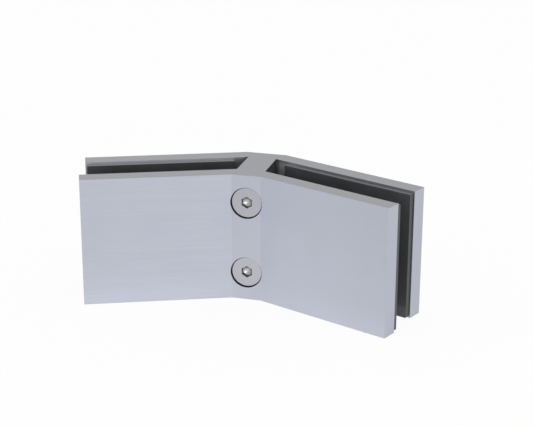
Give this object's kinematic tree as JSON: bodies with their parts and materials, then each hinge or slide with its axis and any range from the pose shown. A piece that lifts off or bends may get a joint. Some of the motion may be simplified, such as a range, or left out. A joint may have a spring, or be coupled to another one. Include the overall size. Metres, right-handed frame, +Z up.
{
  "type": "glass-to-glass connector",
  "caption": "Angled metal clamp that joins glass panes edge to edge at an obtuse corner, with soft pads in its slots and countersunk socket screws inside the corner.",
  "frame": {"origin": "on the foot plane, in the web's lower face, where the middle planes of the two glass panes meet", "axes": "+Z up along the corner, +Y out of the corner, away from the screw heads, +X to the right wing as seen from the screw side"},
  "size_m": [0.1324, 0.0506, 0.05],
  "materials": {
    "brushed_aluminium": "brushed along the wings",
    "gasket_rubber": "matt",
    "screw_steel": "fine turned"
  },
  "bodies": {
    "back_clamp": {"back_half": "brushed_aluminium", "gasket_back_left": "gasket_rubber", "gasket_back_right": "gasket_rubber"},
    "front_clamp": {"front_plate": "brushed_aluminium", "gasket_front_left": "gasket_rubber", "gasket_front_right": "gasket_rubber"},
    "upper_screw": {"screw_upper": "screw_steel"},
    "lower_screw": {"screw_lower": "screw_steel"}
  },
  "joints": [
    {"name": "clamp_opening", "type": "slide", "parent": "back_clamp", "child": "front_clamp", "axis": [0, -1, 0], "range_m": [0, 0.012]},
    {"name": "upper_screw_turn", "type": "hinge", "parent": "front_clamp", "child": "upper_screw", "pos_m": [0, -0.01728, 0.039], "axis": [0, -1, 0], "range_deg": [0, 4320]},
    {"name": "lower_screw_turn", "type": "hinge", "parent": "front_clamp", "child": "lower_screw", "pos_m": [0, -0.01728, 0.011], "axis": [0, -1, 0], "range_deg": [0, 4320]}
  ],
  "couplings": [
    {"joint": "upper_screw_turn", "follows": "clamp_opening", "rad_per_m": 6283.2},
    {"joint": "lower_screw_turn", "follows": "clamp_opening", "rad_per_m": 6283.2}
  ]
}
